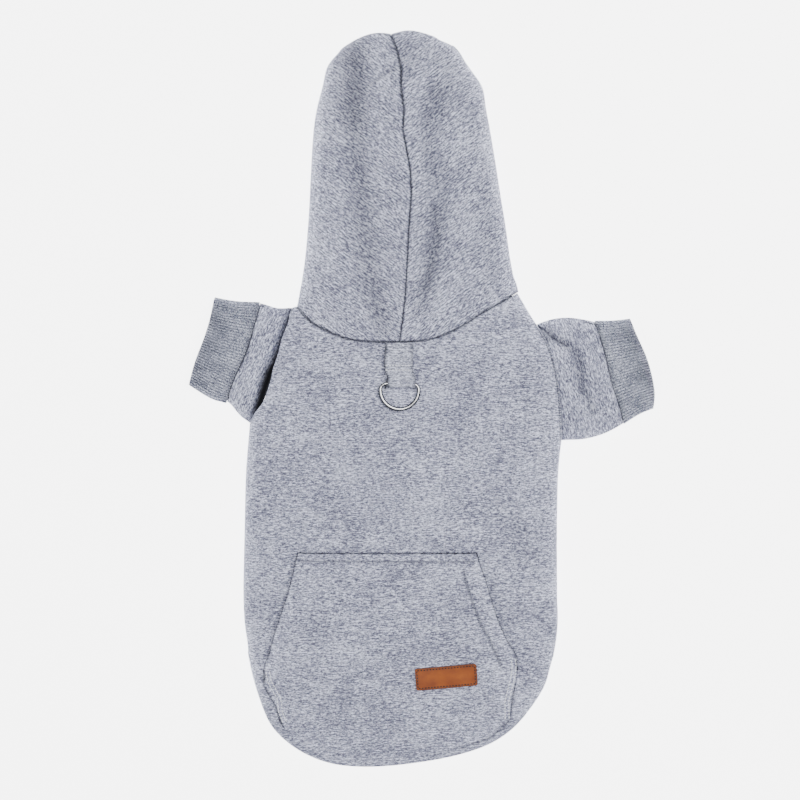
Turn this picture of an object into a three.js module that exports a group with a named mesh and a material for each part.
// A dog hoodie lying flat with its back up. Millimetres, +Z up.
// +Y points from the tail to the hood, +X to the right as seen from above.
// The origin is on the surface that it lies on, under the middle of the chest.
import * as THREE from 'three';

// Driving sizes of the garment as it lies
const backLength = 300; // neck seam to the hem of the tail
const chestWidth = 220; // across the body under the arms
const chestDrop = 62; // neck seam down to the chest line
const neckWidth = 158; // across the neck seam
const hoodLength = 221; // neck seam to crown
const hoodWidth = 150; // across the hood
const frontNeckDrop = 14; // neck seam down to the front neckline
const bellyHemRise = 26; // how far the belly hem curves up in its middle
const torsoHeight = 28; // top of the body over the surface
const hoodHeight = 27;
const armholeHeight = 19; // top of the body's edge over the sleeve
const sleeveHeight = 15.5; // at the armhole
const cuffHeight = 13;
const sleeveReach = 71; // shoulder seam to the open end of the cuff, across
const faceWidth = 86; // face opening under the hood
const faceBrow = 42; // crown to the face opening

// Cloth
const wall = 2; // fleece
const cuffWall = 2.2; // ribbed knit
const ribDepth = 0.55;
const ribPitch = 2.2;
const seamGap = 0.4; // between two sewn edges
const sewnTuck = 3; // how far a sleeve reaches under the body's edge
const foldSpace = 2; // hollow inside the cloth's folded sides
const sideTurn = 16; // how far the back panel turns under at the sides
const seamDip = 1.4; // how far the cloth dips along a seam
const turnMargin = 1; // flat cloth past a turned side's round
const edgeHeight = 2 * wall + foldSpace;
const sleeveEdge = 5; // middle of a sleeve's side over the surface

// Pocket and label
const pocketWidth = 123.6; // along its top edge
const pocketDrop = 146.6; // neck seam to the pocket's top edge
const pocketSpread = 178; // across its widest place
const pocketGape = 6.4; // how far its slanted mouths stand open
const patchGap = 0.95; // between a patch and the curved cloth under it
const labelLength = 43;
const labelWidth = 15.5;
const labelThickness = 1.4;
const labelTurn = THREE.MathUtils.degToRad(4.6);

// Leash tab and D-ring
const tabWidth = 19;
const tabLength = 31;
const strapThickness = 1.3;
const wireThickness = 2.4;
const barClearance = 0.35;
const ringWidth = 29;
const ringBarSet = 4.5; // bar to the middle of the ring's round
const ringCorner = 2.6;
const tabSet = 1; // neck seam to the tab's top edge
const tabLayersMeet = 6.3; // from the bar to where the strap's two layers lie flat

// Powers of the section shapes: a higher one stays level for longer before it turns down
const domePower = 3; // across the body and the hood
const crownPower = 6; // along the hood
const tuckPower = 6; // along a sleeve
const mouthPower = 0.7; // along the pocket's slanted mouths
const pocketPower = 0.6; // down the pocket's middle
const floorPower = 0.4; // round the underside of a sleeve
const columnCrowding = 0.6; // 0 spaces the back's columns evenly, 1 as on a half round

// Rows of faces in each stretch of the body, from neck to tail
const bodyRows = { shoulder: 2, armhole: 7, side: 8, tail: 4 };
// Counts of faces across the other grids, and along them
const gridColumns = { body: 20, belly: 10, hood: 10, sleeve: 26, pocket: 12, label: 8 };
const gridRows = { hood: 15, sleeve: 5, cuff: 2, label: 3 };

// Plan lines. across is a share of the chest's width and along a share of the back's length.
const armholes = {
  left: [
    { across: -0.372, along: 0.07 }, { across: -0.418, along: -0.021 },
    { across: -0.458, along: -0.106 }, { across: -0.502, along: -0.201 },
  ],
  right: [
    { across: 0.424, along: 0.046 }, { across: 0.46, along: -0.005 },
    { across: 0.489, along: -0.092 }, { across: 0.508, along: -0.23 },
  ],
};
const bodySides = {
  left: [
    { across: -0.502, along: -0.201 }, { across: -0.509, along: -0.253 },
    { across: -0.515, along: -0.319 }, { across: -0.517, along: -0.419 },
    { across: -0.521, along: -0.537 }, { across: -0.522, along: -0.613 },
    { across: -0.517, along: -0.672 }, { across: -0.508, along: -0.731 },
  ],
  right: [
    { across: 0.508, along: -0.23 }, { across: 0.5, along: -0.277 },
    { across: 0.495, along: -0.372 }, { across: 0.494, along: -0.514 },
    { across: 0.495, along: -0.608 }, { across: 0.492, along: -0.679 },
    { across: 0.484, along: -0.738 },
  ],
};
const tailSides = {
  left: [
    { across: -0.508, along: -0.731 }, { across: -0.486, along: -0.798 },
    { across: -0.46, along: -0.857 },
  ],
  right: [
    { across: 0.484, along: -0.738 }, { across: 0.46, along: -0.802 },
    { across: 0.411, along: -0.859 },
  ],
};
const tailHem = [
  { across: -0.46, along: -0.857 }, { across: -0.431, along: -0.904 },
  { across: -0.382, along: -0.942 }, { across: -0.318, along: -0.973 },
  { across: -0.234, along: -0.996 }, { across: -0.137, along: -1.003 },
  { across: -0.015, along: -1.002 }, { across: 0.108, along: -0.992 },
  { across: 0.211, along: -0.97 }, { across: 0.295, along: -0.942 },
  { across: 0.361, along: -0.904 }, { across: 0.411, along: -0.859 },
];

// The neck seam, both columns as shares of its width. The nape is where the hood's seam starts.
const neckSeam = [
  { across: -0.488, along: 0.157 }, { across: -0.438, along: 0.106 },
  { across: -0.389, along: 0.073 }, { across: -0.33, along: 0.043 },
  { across: -0.272, along: 0.019 }, { across: -0.189, along: 0.004 },
  { across: -0.106, along: 0 }, { across: -0.022, along: 0, nape: true },
  { across: 0.043, along: 0.002 }, { across: 0.11, along: 0.009 },
  { across: 0.193, along: 0.04 }, { across: 0.267, along: 0.077 },
  { across: 0.351, along: 0.132 }, { across: 0.434, along: 0.177 },
  { across: 0.51, along: 0.225 },
];
const nape = neckSeam.findIndex((row) => row.nape);

// The hood's lines as shares of its width and length, all from the neck up.
const hoodSeam = [
  { across: -0.002, along: 0.106 }, { across: 0.012, along: 0.235 },
  { across: 0.021, along: 0.363 }, { across: 0.033, along: 0.475 },
  { across: 0.026, along: 0.553 }, { across: 0.009, along: 0.61 },
  { across: -0.007, along: 0.662 }, { across: -0.002, along: 0.749 },
  { across: -0.02, along: 0.813 }, { across: -0.023, along: 0.848 },
  { across: -0.005, along: 0.896 }, { across: -0.035, along: 0.928 },
  { across: -0.063, along: 0.961 }, { across: -0.063, along: 0.988 },
];
const hoodSides = {
  left: [
    { across: -0.48, along: 0.24 }, { across: -0.464, along: 0.34 },
    { across: -0.454, along: 0.427 }, { across: -0.443, along: 0.572 },
    { across: -0.424, along: 0.729 }, { across: -0.38, along: 0.841 },
    { across: -0.346, along: 0.901 }, { across: -0.305, along: 0.938 },
  ],
  right: [
    { across: 0.503, along: 0.273 }, { across: 0.486, along: 0.36 },
    { across: 0.465, along: 0.443 }, { across: 0.423, along: 0.62 },
    { across: 0.386, along: 0.755 }, { across: 0.352, along: 0.832 },
    { across: 0.304, along: 0.887 }, { across: 0.236, along: 0.94 },
  ],
};
const hoodCrown = {
  left: [
    { across: -0.305, along: 0.938 }, { across: -0.23, along: 0.97 },
    { across: -0.163, along: 0.988 }, { across: -0.11, along: 0.992 },
    { across: -0.063, along: 0.988 },
  ],
  right: [
    { across: 0.236, along: 0.94 }, { across: 0.165, along: 0.973 },
    { across: 0.12, along: 0.984 }, { across: 0.069, along: 0.995 },
    { across: 0.012, along: 1 }, { across: -0.063, along: 0.988 },
  ],
};

// Heights. along runs from 0 at the neck seam to 1 at the far edge, rise is a share of the height.
const torsoRises = [
  { along: 0, rise: 0.93 }, { along: 0.2, rise: 0.97 }, { along: 0.42, rise: 1 },
  { along: 0.55, rise: 0.93 }, { along: 0.68, rise: 0.8 }, { along: 0.81, rise: 0.56 },
  { along: 0.9, rise: 0.28 }, { along: 1, rise: 0 },
];
const hoodRises = [
  { along: 0, rise: 0.96 }, { along: 0.2, rise: 0.93 }, { along: 0.5, rise: 1 },
  { along: 0.75, rise: 1 }, { along: 1, rise: 0.9 },
];
// The valleys of the hood: left and right are shares of the way from its seam to its side.
const hoodValleys = [
  { along: 0, left: 0.2, right: 0.12, depth: 0 }, { along: 0.15, left: 0.3, right: 0.2, depth: 0.6 },
  { along: 0.4, left: 0.46, right: 0.27, depth: 1 }, { along: 0.65, left: 0.56, right: 0.32, depth: 1 },
  { along: 0.85, left: 0.55, right: 0.42, depth: 0.8 }, { along: 1, left: 0.5, right: 0.45, depth: 0.2 },
];
const valleyDepth = 6.5;
const valleyWidth = 0.17;

// Soft dents of the back. across, along, wide and long are shares of chest width and back length.
const backDents = [
  { across: 0.25, along: -0.44, wide: 0.07, long: 0.09, turn: 0.2, depth: 0.09 },
  { across: -0.34, along: -0.36, wide: 0.05, long: 0.16, turn: -0.25, depth: 0.07 },
  { across: 0.36, along: -0.2, wide: 0.05, long: 0.13, turn: 0.35, depth: 0.07 },
  { across: -0.1, along: -0.34, wide: 0.2, long: 0.035, turn: 0.1, depth: 0.05 },
];

// Sleeve edges. out is a share of the sleeve's reach, rise a share of the armhole's length in Y.
const sleeves = {
  left: {
    upper: [{ out: 0.14, rise: 0.042 }, { out: 0.32, rise: 0.082 }],
    lower: [{ out: 0.08, rise: 0.07 }, { out: 0.15, rise: 0.127 }, { out: 0.235, rise: 0.196 }],
    seam: [{ out: 0.335, rise: -0.084 }, { out: 0.412, rise: -0.33 }, { out: 0.55, rise: -0.6 }],
    cuffUpper: [{ out: 0.445, rise: 0.086 }, { out: 0.62, rise: 0.098 }, { out: 0.74, rise: 0.128 }],
    cuffLower: [{ out: 0.42, rise: 0.288 }, { out: 0.59, rise: 0.385 }],
    mouth: [{ out: 0.785, rise: -0.074 }, { out: 0.84, rise: -0.229 }, { out: 0.925, rise: -0.423 }],
  },
  right: {
    upper: [{ out: 0.144, rise: 0.036 }, { out: 0.35, rise: 0.05 }, { out: 0.58, rise: 0.012 }],
    lower: [{ out: 0.12, rise: 0 }, { out: 0.281, rise: 0.019 }, { out: 0.421, rise: 0.057 },
      { out: 0.531, rise: 0.102 }, { out: 0.606, rise: 0.145 }],
    seam: [{ out: 0.655, rise: -0.205 }, { out: 0.74, rise: -0.52 }, { out: 0.815, rise: -0.7 }],
    cuffUpper: [{ out: 0.735, rise: 0.008 }, { out: 0.84, rise: 0.02 }, { out: 0.935, rise: 0.03 }],
    cuffLower: [{ out: 0.691, rise: 0.203 }, { out: 0.791, rise: 0.244 }, { out: 0.905, rise: 0.28 }],
    mouth: [{ out: 0.98, rise: -0.08 }, { out: 1.1, rise: -0.33 }, { out: 1.17, rise: -0.6 }],
  },
};

// Pocket edges: out is a share of half the pocket's spread, along of the back's length below its top.
const pocketEdges = {
  left: {
    slant: [{ out: -0.92, along: -0.1 }, { out: -1.035, along: -0.199 }, { out: -1.087, along: -0.27 }],
    foot: [{ out: -1.105, along: -0.29 }, { out: -1.05, along: -0.339 }, { out: -1.01, along: -0.378 },
      { out: -0.95, along: -0.42 }],
  },
  right: {
    slant: [{ out: 0.61, along: -0.04 }, { out: 0.72, along: -0.146 }, { out: 0.855, along: -0.24 }],
    foot: [{ out: 0.9, along: -0.267 }, { out: 0.883, along: -0.31 }, { out: 0.852, along: -0.357 },
      { out: 0.848, along: -0.4 }],
  },
};
const pocketFoot = [
  { out: -0.75, along: -0.475 }, { out: -0.49, along: -0.504 }, { out: -0.17, along: -0.505 },
  { out: 0.17, along: -0.5 }, { out: 0.475, along: -0.48 }, { out: 0.76, along: -0.442 },
];
const pocketRows = { slant: 8, foot: 3 };
const pocketShift = -12.9; // its top edge lies a little left of the middle

const { lerp, clamp, smoothstep } = THREE.MathUtils;
const neckY = chestDrop;
const onBody = ({ across, along }) => new THREE.Vector3(across * chestWidth, neckY + along * backLength);
const onNeck = ({ across, along }) => new THREE.Vector3(across * neckWidth, neckY + along * neckWidth);
const onHood = ({ across, along }) => new THREE.Vector3(across * hoodWidth, neckY + along * hoodLength);
const lens = (share) => Math.sqrt(Math.max(0, 4 * share * (1 - share)));
const dome = (share) => Math.sqrt(Math.max(0, 1 - Math.abs(share) ** domePower));

// A smooth line through points, asked by share of its length.
function line(points) {
  const curve = new THREE.CatmullRomCurve3(points, false, 'centripetal');
  return (share) => curve.getPointAt(clamp(share, 0, 1));
}

// Several lines end to end, each taking its own number of rows.
function stretches(lines, rows) {
  const total = rows.reduce((sum, count) => sum + count, 0);
  return (share) => {
    let row = share * total;
    let index = 0;
    while (index < rows.length - 1 && row > rows[index]) {
      row -= rows[index];
      index += 1;
    }
    return lines[index](row / rows[index]);
  };
}

// A smooth value from a table, read in its along column.
function reading(rows, column, along) {
  const last = rows.length - 1;
  let index = 0;
  while (index < last - 1 && along > rows[index + 1].along) index += 1;
  const [from, to] = [rows[index], rows[index + 1]];
  const share = clamp((along - from.along) / (to.along - from.along), 0, 1);
  const slope = (a, b) => (rows[b][column] - rows[a][column]) / (rows[b].along - rows[a].along);
  const span = to.along - from.along;
  const leave = slope(Math.max(index - 1, 0), index + 1) * span;
  const arrive = slope(index, Math.min(index + 2, last)) * span;
  const [s2, s3] = [share ** 2, share ** 3];
  return (2 * s3 - 3 * s2 + 1) * from[column] + (s3 - 2 * s2 + share) * leave
    + (3 * s2 - 2 * s3) * to[column] + (s3 - s2) * arrive;
}

// A patch between four lines: left and right run down, top and bottom run from left to right.
function patch(left, right, top, bottom) {
  const at = (u, v) => {
    const point = left(v).multiplyScalar(1 - u).addScaledVector(right(v), u);
    point.addScaledVector(top(u), 1 - v).addScaledVector(bottom(u), v);
    point.addScaledVector(top(0), -(1 - u) * (1 - v)).addScaledVector(top(1), -u * (1 - v));
    return point.addScaledVector(bottom(0), -(1 - u) * v).addScaledVector(bottom(1), -u * v);
  };
  const locate = (x, y) => {
    let [u, v] = [0.5, 0.5];
    for (let step = 0; step < 30; step += 1) {
      const here = at(u, v);
      u = clamp(u + (x - here.x) / (right(v).x - left(v).x), 0, 1);
      v = clamp(v + (here.y - y) / (top(u).y - bottom(u).y), 0, 1);
    }
    return [u, v];
  };
  return { at, locate };
}

// Points and four-sided faces of a grid, with the faces' front where x turns to y.
function grid(columns, rows, point, { closed = false, flip = false } = {}) {
  const across = closed ? columns : columns + 1;
  const id = (i, j) => j * across + (i % across);
  const points = [];
  for (let j = 0; j <= rows; j += 1) {
    for (let i = 0; i < across; i += 1) points.push(point(i, j));
  }
  const faces = [];
  for (let j = 0; j < rows; j += 1) {
    for (let i = 0; i < columns; i += 1) {
      const face = [id(i, j), id(i, j + 1), id(i + 1, j + 1), id(i + 1, j)];
      faces.push(flip ? face.reverse() : face);
    }
  }
  return { points, faces, id };
}

// Adds a strip of faces along a path of a grid's points, one ray of new points for each.
function addStrip(sheet, path, rays, flip) {
  const lines = path.map((start, index) => {
    const first = sheet.points.length;
    sheet.points.push(...rays[index]);
    return [start, ...rays[index].map((unused, step) => first + step)];
  });
  for (let index = 0; index + 1 < lines.length; index += 1) {
    const [here, next] = [lines[index], lines[index + 1]];
    for (let step = 0; step + 1 < here.length; step += 1) {
      const face = [here[step], here[step + 1], next[step + 1], next[step]];
      sheet.faces.push(flip ? face.reverse() : face);
    }
  }
}

function pointNormals(points, faces) {
  const normals = points.map(() => new THREE.Vector3());
  for (const face of faces) {
    const [a, b, c, d] = face.map((index) => points[index]);
    const normal = new THREE.Vector3().subVectors(c, a).cross(new THREE.Vector3().subVectors(d, b));
    for (const index of face) normals[index].add(normal);
  }
  return normals.map((normal) => normal.normalize());
}

// Cloth: the sheet's own points are its outer face, and the inner face lies a wall inside it.
// relief pushes single outer points inward, for ribs. A tube's axis keeps its ends square.
function cloth({ points, faces }, thickness, { relief = () => 0, axis } = {}) {
  const normals = pointNormals(points, faces);
  if (axis) {
    for (const normal of normals) normal.addScaledVector(axis, -normal.dot(axis)).normalize();
  }
  const inner = points.map((point, index) => {
    const inside = point.clone().addScaledVector(normals[index], -thickness);
    return inside.setZ(Math.max(inside.z, 0));
  });
  const outer = points.map((point, index) => point.clone().addScaledVector(normals[index], -relief(index)));
  const count = points.length;
  const triangles = [];
  const quad = (a, b, c, d) => triangles.push(a, b, c, a, c, d);
  const edges = new Map();
  for (const [a, b, c, d] of faces) {
    quad(a, b, c, d);
    quad(count + d, count + c, count + b, count + a);
    for (const [from, to] of [[a, b], [b, c], [c, d], [d, a]]) edges.set(`${from} ${to}`, [from, to]);
  }
  for (const [from, to] of edges.values()) {
    if (!edges.has(`${to} ${from}`)) quad(to, from, count + from, count + to);
  }
  const geometry = new THREE.BufferGeometry().setFromPoints([...outer, ...inner]);
  geometry.setIndex(triangles);
  geometry.computeVertexNormals();
  return geometry;
}

const fleece = new THREE.MeshStandardMaterial({ color: 0xaaacb7, roughness: 0.95, metalness: 0 });
const sleeveFleece = new THREE.MeshStandardMaterial({ color: 0x9da0ab, roughness: 0.95, metalness: 0 });
const ribKnit = new THREE.MeshStandardMaterial({ color: 0x979ba7, roughness: 0.95, metalness: 0 });
const leather = new THREE.MeshStandardMaterial({ color: 0x9c5f30, roughness: 0.6, metalness: 0 });
const nickel = new THREE.MeshStandardMaterial({ color: 0xc9ccd2, roughness: 0.2, metalness: 1 });

const group = new THREE.Group();
function add(name, geometry, material) {
  const mesh = new THREE.Mesh(geometry, material);
  mesh.name = name;
  group.add(mesh);
  return mesh;
}

// Body: the back panel's plan, in four stretches from the neck seam to the hem
const rowCounts = Object.values(bodyRows);
const bodyRowTotal = rowCounts.reduce((sum, count) => sum + count, 0);
const armholeStart = bodyRows.shoulder;
const armholeEnd = armholeStart + bodyRows.armhole;
const bellyEnd = armholeEnd + bodyRows.side;
const neckPoints = neckSeam.map(onNeck);
const neckLine = line(neckPoints);
const frontNeck = new THREE.Vector3(neckPoints[nape].x, neckY - frontNeckDrop, 0);

function bodyEdge(side, neckEnd) {
  const armhole = armholes[side].map(onBody);
  const shoulder = [neckEnd, armhole[0]];
  const parts = [shoulder, armhole, bodySides[side].map(onBody), tailSides[side].map(onBody)];
  return stretches(parts.map(line), rowCounts);
}
const bodyPlan = patch(
  bodyEdge('left', neckPoints[0]),
  bodyEdge('right', neckPoints.at(-1)),
  neckLine,
  line(tailHem.map(onBody)),
);

// Height of the body's edge at a row, 0 at the neck and bodyRowTotal at the hem
function bodyEdgeHeight(row) {
  if (row > bellyEnd) {
    const fade = smoothstep((row - bellyEnd) / bodyRows.tail, 0, 0.5);
    return lerp(edgeHeight, wall, fade);
  }
  const share = clamp((row - armholeStart) / bodyRows.armhole, 0, 1);
  return edgeHeight + (armholeHeight - edgeHeight) * lens(share);
}

function dentDepth(x, y) {
  let depth = 0;
  for (const dent of backDents) {
    const centre = onBody(dent);
    const away = new THREE.Vector2(x - centre.x, y - centre.y).rotateAround(new THREE.Vector2(), -dent.turn);
    const squared = (away.x / (dent.wide * chestWidth)) ** 2 + (away.y / (dent.long * backLength)) ** 2;
    depth += dent.depth * torsoHeight * Math.exp(-squared);
  }
  return depth;
}

function bodyPoint(u, v) {
  const point = bodyPlan.at(u, v);
  const edge = bodyEdgeHeight(v * bodyRowTotal);
  const top = wall + (torsoHeight - wall) * reading(torsoRises, 'rise', v);
  const arch = dome(2 * u - 1);
  const dip = seamDip * (1 - smoothstep(v * bodyRowTotal, 0, 1)) + dentDepth(point.x, point.y);
  return point.setZ(edge + Math.max(0, top - edge - dip) * arch);
}
const bodyTopAt = (x, y) => bodyPoint(...bodyPlan.locate(x, y)).z;

// Where cloth turns under at a side: a quarter round, then flat on the surface for its depth
const foldAngles = [Math.PI / 4, Math.PI / 2];
function foldUnder(edge, inward, depth) {
  const reach = edgeHeight;
  const ray = foldAngles.map((angle) => edge.clone()
    .addScaledVector(inward, reach * (1 - Math.cos(angle)))
    .setZ(edge.z * (1 - Math.sin(angle))));
  ray.push(edge.clone().addScaledVector(inward, Math.max(depth, reach + turnMargin)).setZ(0));
  return ray;
}

// How far and which way the back panel's side turns under at a row
function underTurn(side, row) {
  const edge = bodyPoint(side === 'left' ? 0 : 1, row / bodyRowTotal);
  const across = new THREE.Vector3(side === 'left' ? 1 : -1, 0, 0);
  const toNeck = frontNeck.clone().sub(edge).setZ(0).normalize();
  const inward = row <= armholeStart ? toNeck : across;
  const depth = row <= armholeEnd ? edgeHeight + turnMargin : sideTurn;
  return { edge, inward, depth };
}
const turnsUnder = (row) => row <= armholeStart || (row >= armholeEnd && row <= bellyEnd);

function backPanel() {
  // Columns crowd towards the sides, where the cloth turns down
  const halfRound = (i) => 0.5 - 0.5 * Math.cos(Math.PI * i / gridColumns.body);
  const share = (i) => lerp(i / gridColumns.body, halfRound(i), columnCrowding);
  const sheet = grid(gridColumns.body, bodyRowTotal, (i, j) => bodyPoint(share(i), j / bodyRowTotal));
  for (const side of ['left', 'right']) {
    const column = side === 'left' ? 0 : gridColumns.body;
    for (const [first, last] of [[0, armholeStart], [armholeEnd, bellyEnd]]) {
      const rows = Array.from({ length: last - first + 1 }, (unused, index) => first + index);
      const rays = rows.map((row) => {
        const { edge, inward, depth } = underTurn(side, row);
        return foldUnder(edge, inward, depth);
      });
      addStrip(sheet, rows.map((row) => sheet.id(column, row)), rays, side === 'right');
    }
  }
  return cloth(sheet, wall);
}
add('back_panel', backPanel(), fleece);

// Belly panel: flat on the surface between the turned sides, from the front neckline to its hem
function bellyPanel() {
  const rowEnds = (side, row) => {
    const { edge, inward, depth } = underTurn(side, row);
    const inset = turnsUnder(row) ? Math.max(depth, edgeHeight + turnMargin) : 0;
    return edge.addScaledVector(inward, inset + seamGap).setZ(0);
  };
  const dip = frontNeck.clone().setY(frontNeck.y - seamGap);
  const [leftEnd, rightEnd] = [rowEnds('left', 0), rowEnds('right', 0)];
  const neckline = (u) => (u < 0.5
    ? leftEnd.clone().lerp(dip, 2 * u)
    : dip.clone().lerp(rightEnd, 2 * u - 1));
  const sheet = grid(gridColumns.belly, bellyEnd, (i, j) => {
    const [u, v] = [i / gridColumns.belly, j / bellyEnd];
    const point = rowEnds('left', j).lerp(rowEnds('right', j), u);
    const sag = neckline(u).sub(leftEnd.clone().lerp(rightEnd, u));
    point.addScaledVector(sag, (1 - v) ** 2);
    point.y += bellyHemRise * Math.sin(Math.PI * u) * v ** 4;
    return point;
  }, { flip: true });
  return cloth(sheet, wall);
}
add('belly_panel', bellyPanel(), fleece);

// Hood: each half runs from the centre seam to its side, and turns under to the face opening
const faceY = { chin: frontNeck.y + seamGap, brow: neckY + hoodLength - faceBrow };
const turnRows = [0.32, 0.66, 1]; // shares of the way from the fold to the face opening

function hoodPoint(plan, side, i, j) {
  const v = 1 - j / gridRows.hood;
  const fromSeam = side === 'left' ? 1 - i / gridColumns.hood : i / gridColumns.hood;
  const point = plan.at(i / gridColumns.hood, j / gridRows.hood);
  const edge = edgeHeight;
  const neckTop = wall + (torsoHeight - wall) * torsoRises[0].rise;
  const hoodTop = hoodHeight * reading(hoodRises, 'rise', v);
  const top = lerp(neckTop, hoodTop, smoothstep(v, 0, 0.2));
  const arch = dome(fromSeam) * Math.sqrt(Math.max(0, 1 - v ** crownPower));
  const away = (fromSeam - reading(hoodValleys, side, v)) / valleyWidth;
  const valley = valleyDepth * reading(hoodValleys, 'depth', v) * Math.exp(-(away ** 2));
  const seam = seamDip * Math.max(1 - smoothstep(fromSeam, 0, 0.12), 1 - smoothstep(v * gridRows.hood, 0, 1));
  return point.setZ(edge + Math.max(0, top - edge - valley - seam) * arch);
}

function hoodHalf(side) {
  const sign = side === 'left' ? -1 : 1;
  const apart = new THREE.Vector3(sign * seamGap / 2, 0, 0);
  const up = new THREE.Vector3(0, seamGap, 0);
  const neck = side === 'left' ? neckPoints.slice(0, nape + 1) : neckPoints.slice(nape);
  const neckEdge = neck.map((point) => point.clone().add(up));
  const neckEnd = side === 'left' ? neckEdge[0] : neckEdge.at(-1);
  const napePoint = side === 'left' ? neckEdge.at(-1) : neckEdge[0];
  const seam = line([...hoodSeam.map(onHood).reverse(), napePoint].map((point) => point.clone().add(apart)));
  const outer = line([...hoodSides[side].map(onHood).reverse(), neckEnd]);
  const crownPoints = hoodCrown[side].map(onHood);
  crownPoints.at(-1).add(apart);
  neckEdge[neckEdge.indexOf(napePoint)] = napePoint.clone().add(apart);
  const bottom = line(neckEdge);
  const top = line(side === 'left' ? crownPoints : crownPoints.reverse());
  const plan = side === 'left' ? patch(outer, seam, top, bottom) : patch(seam, outer, top, bottom);
  const sheet = grid(gridColumns.hood, gridRows.hood, (i, j) => hoodPoint(plan, side, i, j));

  // The rim that turns under: up the side from the neck, then along the crown to the seam
  const outside = side === 'left' ? 0 : gridColumns.hood;
  const path = [];
  for (let j = gridRows.hood; j > 0; j -= 1) path.push(sheet.id(outside, j));
  for (let i = 0; i <= gridColumns.hood; i += 1) path.push(sheet.id(Math.abs(outside - i), 0));
  const rays = path.map((start, index) => {
    const share = index / (path.length - 1);
    const turn = Math.PI * (share - 0.5);
    const middle = lerp(frontNeck.x, seam(0).x, share) + apart.x * share;
    const target = new THREE.Vector3(
      middle + sign * Math.max(faceWidth / 2 * Math.cos(turn), seamGap / 2),
      lerp(faceY.chin, faceY.brow, (1 + Math.sin(turn)) / 2),
      0,
    );
    const edge = sheet.points[start];
    const inward = target.clone().sub(edge).setZ(0);
    const length = inward.length();
    inward.normalize();
    const fold = foldUnder(edge, inward, 0).slice(0, foldAngles.length);
    const flat = turnRows.map((part) => edge.clone()
      .addScaledVector(inward, lerp(edgeHeight, length, part)).setZ(0));
    return [...fold, ...flat];
  });
  addStrip(sheet, path, rays, side === 'left');
  return cloth(sheet, wall);
}
add('hood_left', hoodHalf('left'), fleece);
add('hood_right', hoodHalf('right'), fleece);

// Sleeves and cuffs: flattened tubes, open at both ends
const halfTurn = Math.PI;
function tubeSection(angle, height, edge) {
  const share = (1 - Math.cos(angle)) / 2;
  const lift = Math.sin(angle);
  const floorPart = Math.min(1, 1.25 * Math.abs(lift) ** floorPower);
  return { share, z: lift >= 0 ? edge + (height - edge) * lift : edge * (1 - floorPart) };
}

// Angles that step evenly round the section of a tube of this width and height
function evenAngles(count, width, height, edge) {
  const fine = 720;
  const lengths = [0];
  let before = tubeSection(0, height, edge);
  for (let step = 1; step <= fine; step += 1) {
    const here = tubeSection(2 * halfTurn * step / fine, height, edge);
    lengths.push(lengths.at(-1) + Math.hypot((here.share - before.share) * width, here.z - before.z));
    before = here;
  }
  const angles = [];
  let step = 0;
  for (let index = 0; index < count; index += 1) {
    const wanted = lengths.at(-1) * index / count;
    while (lengths[step + 1] < wanted) step += 1;
    const part = (wanted - lengths[step]) / (lengths[step + 1] - lengths[step]);
    angles.push(2 * halfTurn * (step + part) / fine);
  }
  return angles;
}

function flatTube({ plan, axis, sides, rows, width, heights, flip, thickness, tuck = 0, relief }) {
  const angles = evenAngles(sides, width, (heights[0] + heights[1]) / 2, sleeveEdge);
  const sheet = grid(sides, rows, (i, j) => {
    const v = j / rows;
    const { share, z } = tubeSection(angles[i], lerp(heights[0], heights[1], v), sleeveEdge);
    const point = plan.at(share, v);
    const under = tuck * Math.max(0, Math.sin(angles[i])) ** 4 * (1 - v) ** tuckPower;
    point.x += (flip ? -1 : 1) * under;
    return point.setZ(z);
  }, { closed: true, flip });
  return cloth(sheet, thickness, { relief, axis });
}

function sleeveLines(side) {
  const sign = side === 'left' ? -1 : 1;
  const table = sleeves[side];
  const armhole = armholes[side].map(onBody);
  const [shoulder, underarm] = [armhole[0], armhole.at(-1)];
  const depth = shoulder.y - underarm.y;
  const outward = new THREE.Vector3(sign * seamGap, 0, 0);
  const root = armhole.map((point) => point.clone().add(outward));
  root[0].y -= 2 * seamGap;
  root.at(-1).y += 2 * seamGap;
  const from = (start) => ({ out, rise }) => new THREE.Vector3(
    start.x + sign * out * sleeveReach,
    start.y + rise * depth,
    0,
  );
  const upper = [root[0], ...table.upper.map(from(shoulder))];
  const lower = [root.at(-1), ...table.lower.map(from(underarm))];
  const seam = [upper.at(-1), ...table.seam.map(from(shoulder)), lower.at(-1)];
  const cuffUpper = [upper.at(-1), ...table.cuffUpper.map(from(shoulder))];
  const cuffLower = [lower.at(-1), ...table.cuffLower.map(from(underarm))];
  const mouth = [cuffUpper.at(-1), ...table.mouth.map(from(shoulder)), cuffLower.at(-1)];
  const middle = (points) => points[0].clone().add(points.at(-1)).multiplyScalar(0.5);
  const axis = middle(mouth).sub(middle(root)).normalize();
  return { root, upper, lower, seam, cuffUpper, cuffLower, mouth, outward, axis };
}

function sleeve(side) {
  const { root, upper, lower, seam, axis } = sleeveLines(side);
  return flatTube({
    axis,
    plan: patch(line(upper), line(lower), line(root), line(seam)),
    sides: gridColumns.sleeve,
    rows: gridRows.sleeve,
    width: root[0].distanceTo(root.at(-1)),
    heights: [sleeveHeight, cuffHeight],
    flip: side === 'right',
    thickness: wall,
    tuck: sewnTuck + seamGap,
  });
}

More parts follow.
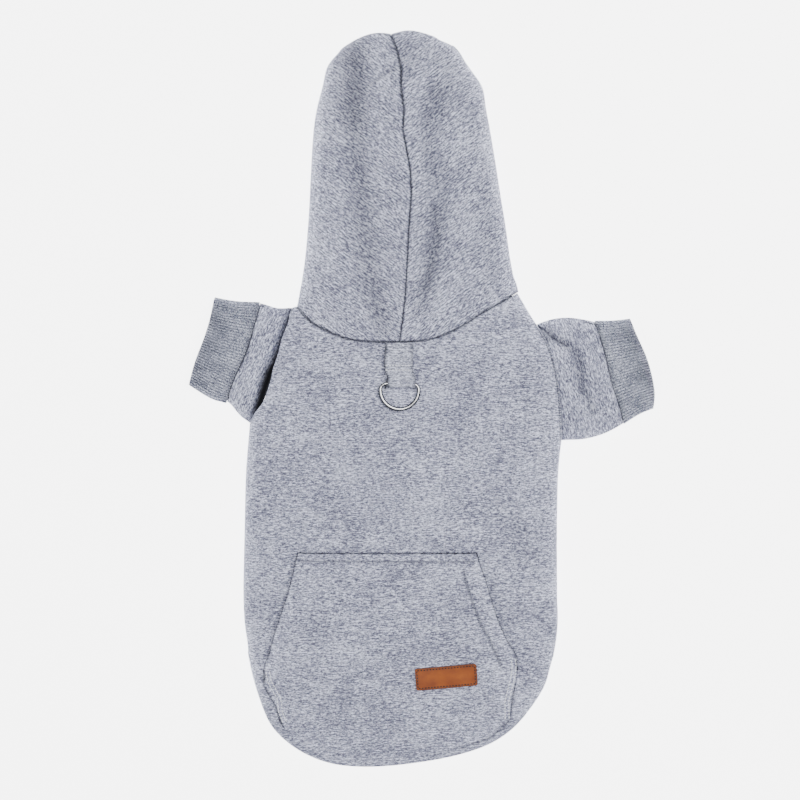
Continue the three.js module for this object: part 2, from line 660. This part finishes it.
function cuff(side) {
  const { seam, cuffUpper, cuffLower, mouth, outward, axis } = sleeveLines(side);
  const start = seam.map((point) => point.clone().add(outward));
  const width = start[0].distanceTo(start.at(-1));
  const ribs = Math.round((2 * width + cuffHeight) / ribPitch);
  return flatTube({
    plan: patch(
      line([start[0], ...cuffUpper.slice(1)]),
      line([start.at(-1), ...cuffLower.slice(1)]),
      line(start),
      line(mouth),
    ),
    axis,
    sides: 2 * ribs,
    rows: gridRows.cuff,
    width,
    heights: [cuffHeight, cuffHeight],
    flip: side === 'right',
    thickness: cuffWall,
    relief: (index) => (index % 2) * ribDepth,
  });
}
for (const side of ['left', 'right']) {
  add(`sleeve_${side}`, sleeve(side), sleeveFleece);
  add(`cuff_${side}`, cuff(side), ribKnit);
}

// Pocket: one patch sewn to the back along its top, feet and hem, open at its two slanted sides
const pocketTop = neckY - pocketDrop;
const onPocket = ({ out, along }) => (
  new THREE.Vector3(out * pocketSpread / 2, pocketTop + along * backLength, 0));
const pocketRowTotal = pocketRows.slant + pocketRows.foot;
const pocketCorners = {
  left: new THREE.Vector3(pocketShift - pocketWidth / 2, pocketTop, 0),
  right: new THREE.Vector3(pocketShift + pocketWidth / 2, pocketTop, 0),
};
function pocketEdge(side) {
  const slant = [pocketCorners[side], ...pocketEdges[side].slant.map(onPocket)];
  const foot = [slant.at(-1), ...pocketEdges[side].foot.map(onPocket)];
  return stretches([line(slant), line(foot)], [pocketRows.slant, pocketRows.foot]);
}
const footPoints = [
  pocketEdges.left.foot.at(-1), ...pocketFoot, pocketEdges.right.foot.at(-1),
].map(onPocket);
const pocketPlan = patch(
  pocketEdge('left'),
  pocketEdge('right'),
  line([pocketCorners.left, pocketCorners.right]),
  line(footPoints),
);

function pocketPoint(u, v) {
  const point = pocketPlan.at(u, v);
  const mouthShare = v * pocketRowTotal / pocketRows.slant;
  const mouthLift = mouthShare < 1 ? Math.sin(Math.PI * mouthShare) ** mouthPower : 0;
  const middleLift = Math.sin(Math.PI * v) ** pocketPower;
  const lift = pocketGape * lerp(mouthLift, middleLift, lens(u));
  return point.setZ(bodyTopAt(point.x, point.y) + patchGap + wall + lift);
}
const pocketTopAt = (x, y) => pocketPoint(...pocketPlan.locate(x, y)).z;
const pocket = grid(gridColumns.pocket, pocketRowTotal, (i, j) => (
  pocketPoint(i / gridColumns.pocket, j / pocketRowTotal)));
add('pocket', cloth(pocket, wall), fleece);

// Leather label: a thin plate that follows the pocket
const labelPlace = onBody({ across: 0.132, along: -0.777 });
const label = grid(gridColumns.label, gridRows.label, (i, j) => {
  const point = new THREE.Vector3(
    (i / gridColumns.label - 0.5) * labelLength,
    (0.5 - j / gridRows.label) * labelWidth,
    0,
  ).applyAxisAngle(new THREE.Vector3(0, 0, 1), labelTurn).add(labelPlace);
  return point.setZ(pocketTopAt(point.x, point.y) + seamGap + labelThickness);
});
add('leather_label', cloth(label, labelThickness), leather);

// Leash tab: a strap from the neck seam, folded round the ring's bar and sewn to itself
const eyeRadius = wireThickness / 2 + barClearance;
const foldRadius = eyeRadius + strapThickness;
const tabTop = neckPoints[nape].y - tabSet;
const barY = tabTop - tabLength + foldRadius;
const tabX = neckPoints[nape].x;
const tabBase = Math.max(...[0, 0.25, 0.5, 0.75, 1].map((share) => (
  bodyTopAt(tabX, lerp(tabTop, barY - foldRadius, share))))) + seamGap;

function leashTab() {
  // Side view: x here is the distance from the bar to the neck, y the height over the strap's base
  const flatHeight = 2 * strapThickness;
  const meet = new THREE.Vector2(tabLayersMeet, flatHeight - foldRadius);
  const foldEnd = Math.atan2(meet.y, meet.x) + Math.acos(foldRadius / meet.length());
  const outline = new THREE.Shape();
  outline.moveTo(tabTop - barY, 0);
  outline.lineTo(tabTop - barY, flatHeight);
  outline.lineTo(tabLayersMeet, flatHeight);
  outline.absarc(0, foldRadius, foldRadius, foldEnd, Math.PI * 1.5, false);
  outline.closePath();
  const eye = new THREE.Path().absarc(0, foldRadius, eyeRadius, 0, 2 * Math.PI, true);
  outline.holes.push(eye);
  const geometry = new THREE.ExtrudeGeometry(outline, {
    depth: tabWidth, bevelEnabled: false, curveSegments: 10,
  });
  // Stand the side view upright: its x becomes +Y, its y becomes +Z, its depth +X
  geometry.applyMatrix4(new THREE.Matrix4().makeBasis(
    new THREE.Vector3(0, 1, 0),
    new THREE.Vector3(0, 0, 1),
    new THREE.Vector3(1, 0, 0),
  ));
  return geometry.translate(tabX - tabWidth / 2, barY, tabBase);
}
add('leash_tab', leashTab(), fleece);

// D-ring: a straight bar in the tab's fold and a round that lies down the back
function ringLine() {
  const radius = (ringWidth - wireThickness) / 2;
  const halfBar = Math.sqrt(radius ** 2 - ringBarSet ** 2);
  const cornerAngle = Math.asin(ringBarSet / radius);
  const arcStart = cornerAngle - ringCorner / radius;
  const points = [];
  const barSteps = 5;
  for (let step = 0; step <= barSteps; step += 1) {
    points.push(new THREE.Vector3(lerp(-1, 1, step / barSteps) * (halfBar - ringCorner), 0, 0));
  }
  const arcSteps = 18;
  for (let step = 0; step <= arcSteps; step += 1) {
    const angle = lerp(arcStart, -Math.PI - arcStart, step / arcSteps);
    points.push(new THREE.Vector3(radius * Math.cos(angle), radius * Math.sin(angle) - ringBarSet, 0));
  }
  return new THREE.CatmullRomCurve3(points, true, 'centripetal');
}
const barHeight = tabBase + foldRadius;
const ringReach = ringWidth / 2 - wireThickness / 2 + ringBarSet;
const ringRest = bodyTopAt(tabX, barY - ringReach) + seamGap + wireThickness / 2;
const ring = add('d_ring', new THREE.TubeGeometry(ringLine(), 48, wireThickness / 2, 8, true), nickel);
ring.position.set(tabX, barY, barHeight);
ring.rotation.x = Math.asin(clamp((barHeight - ringRest) / ringReach, -0.5, 0.5));

export default group;
